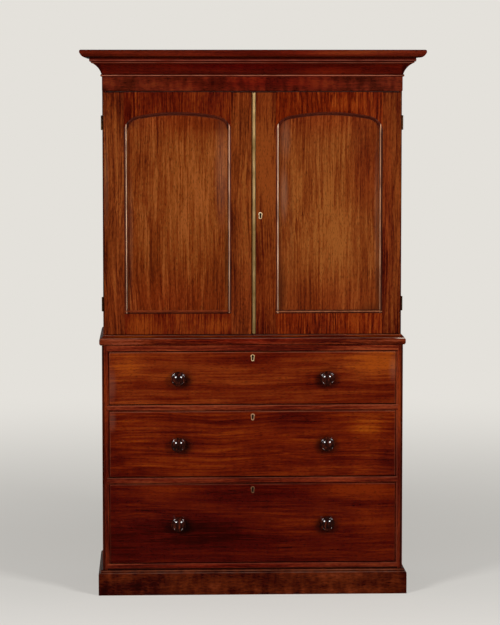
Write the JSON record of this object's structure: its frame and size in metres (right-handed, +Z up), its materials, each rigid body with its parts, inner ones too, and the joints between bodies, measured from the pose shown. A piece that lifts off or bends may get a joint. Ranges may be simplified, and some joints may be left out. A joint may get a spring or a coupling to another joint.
{
  "type": "linen press",
  "caption": "Mahogany linen press: cupboard with arched panel doors, sliding trays and a stepped cornice, on a chest of long drawers with turned knobs.",
  "frame": {"origin": "on the floor, midway in the overall width and depth", "axes": "+X to the right seen from the front, +Y to the back, +Z up; the doors and drawers open toward -Y"},
  "size_m": [1.324, 0.575, 2.111],
  "materials": {
    "mahogany": "french polished gloss",
    "pine": "bare, darkened by age",
    "cedar": "bare, smooth",
    "dark_knob_wood": "high gloss polish",
    "brass": "aged, half bright"
  },
  "bodies": {
    "case": {"plinth_front": "mahogany", "plinth_returns": "mahogany", "glue_blocks": "pine", "chest_sides": "mahogany", "chest_rails": "mahogany", "chest_runners": "pine", "chest_dust_boards": "pine", "chest_top": "pine", "chest_back": "pine", "waist_moulding": "mahogany", "press_base_moulding": "mahogany", "press_sides": "mahogany", "press_top": "pine", "press_bottom": "pine", "press_back": "pine", "tray_bearers": "cedar", "frieze": "mahogany", "cornice_cavetto": "mahogany", "cornice_crown": "mahogany", "cornice_top": "pine", "case_hinges": "brass"},
    "left_door": {"left_door_stiles": "mahogany", "left_door_rails": "mahogany", "left_door_panel": "mahogany", "left_door_moulding": "mahogany", "left_door_hinges": "brass", "bolt_plates": "brass"},
    "right_door": {"right_door_stiles": "mahogany", "right_door_rails": "mahogany", "right_door_panel": "mahogany", "right_door_moulding": "mahogany", "right_door_hinges": "brass", "meeting_strip": "brass", "door_lock": "brass"},
    "drawer_1": {"drawer_1_front": "mahogany", "drawer_1_box": "cedar", "drawer_1_bottom": "cedar", "drawer_1_knobs": "dark_knob_wood", "drawer_1_lock": "brass"},
    "drawer_bolt_1": {"drawer_1_bolt": "brass"},
    "drawer_2": {"drawer_2_front": "mahogany", "drawer_2_box": "cedar", "drawer_2_bottom": "cedar", "drawer_2_knobs": "dark_knob_wood", "drawer_2_lock": "brass"},
    "drawer_bolt_2": {"drawer_2_bolt": "brass"},
    "drawer_3": {"drawer_3_front": "mahogany", "drawer_3_box": "cedar", "drawer_3_bottom": "cedar", "drawer_3_knobs": "dark_knob_wood", "drawer_3_lock": "brass"},
    "drawer_bolt_3": {"drawer_3_bolt": "brass"},
    "linen_tray_1": {"tray_1": "cedar"},
    "linen_tray_2": {"tray_2": "cedar"},
    "linen_tray_3": {"tray_3": "cedar"},
    "linen_tray_4": {"tray_4": "cedar"},
    "lock_bolt": {"door_lock_bolt": "brass"},
    "top_slide_bolt": {"left_top_bolt": "brass"},
    "bottom_slide_bolt": {"left_bottom_bolt": "brass"}
  },
  "joints": [
    {"name": "left_door_hinge", "type": "hinge", "parent": "case", "child": "left_door", "pos_m": [-0.5787, -0.1776, 1.483], "axis": [0, 0, -1], "range_deg": [0, 175]},
    {"name": "right_door_hinge", "type": "hinge", "parent": "case", "child": "right_door", "pos_m": [0.5787, -0.1776, 1.483], "axis": [0, 0, 1], "range_deg": [0, 175]},
    {"name": "drawer_1_slide", "type": "slide", "parent": "case", "child": "drawer_1", "axis": [0, -1, 0], "range_m": [0, 0.38]},
    {"name": "drawer_2_slide", "type": "slide", "parent": "case", "child": "drawer_2", "axis": [0, -1, 0], "range_m": [0, 0.38]},
    {"name": "drawer_3_slide", "type": "slide", "parent": "case", "child": "drawer_3", "axis": [0, -1, 0], "range_m": [0, 0.38]},
    {"name": "tray_1_slide", "type": "slide", "parent": "case", "child": "linen_tray_1", "axis": [0, -1, 0], "range_m": [0, 0.012]},
    {"name": "tray_2_slide", "type": "slide", "parent": "case", "child": "linen_tray_2", "axis": [0, -1, 0], "range_m": [0, 0.012]},
    {"name": "tray_3_slide", "type": "slide", "parent": "case", "child": "linen_tray_3", "axis": [0, -1, 0], "range_m": [0, 0.012]},
    {"name": "tray_4_slide", "type": "slide", "parent": "case", "child": "linen_tray_4", "axis": [0, -1, 0], "range_m": [0, 0.012]},
    {"name": "drawer_1_bolt_throw", "type": "slide", "parent": "drawer_1", "child": "drawer_bolt_1", "axis": [0, 0, 1], "range_m": [0, 0.008]},
    {"name": "drawer_2_bolt_throw", "type": "slide", "parent": "drawer_2", "child": "drawer_bolt_2", "axis": [0, 0, 1], "range_m": [0, 0.008]},
    {"name": "drawer_3_bolt_throw", "type": "slide", "parent": "drawer_3", "child": "drawer_bolt_3", "axis": [0, 0, 1], "range_m": [0, 0.008]},
    {"name": "door_bolt_throw", "type": "slide", "parent": "right_door", "child": "lock_bolt", "axis": [-1, 0, 0], "range_m": [0, 0.01]},
    {"name": "top_slide_bolt_throw", "type": "slide", "parent": "left_door", "child": "top_slide_bolt", "axis": [0, 0, 1], "range_m": [0, 0.012]},
    {"name": "bottom_slide_bolt_throw", "type": "slide", "parent": "left_door", "child": "bottom_slide_bolt", "axis": [0, 0, -1], "range_m": [0, 0.012]}
  ]
}
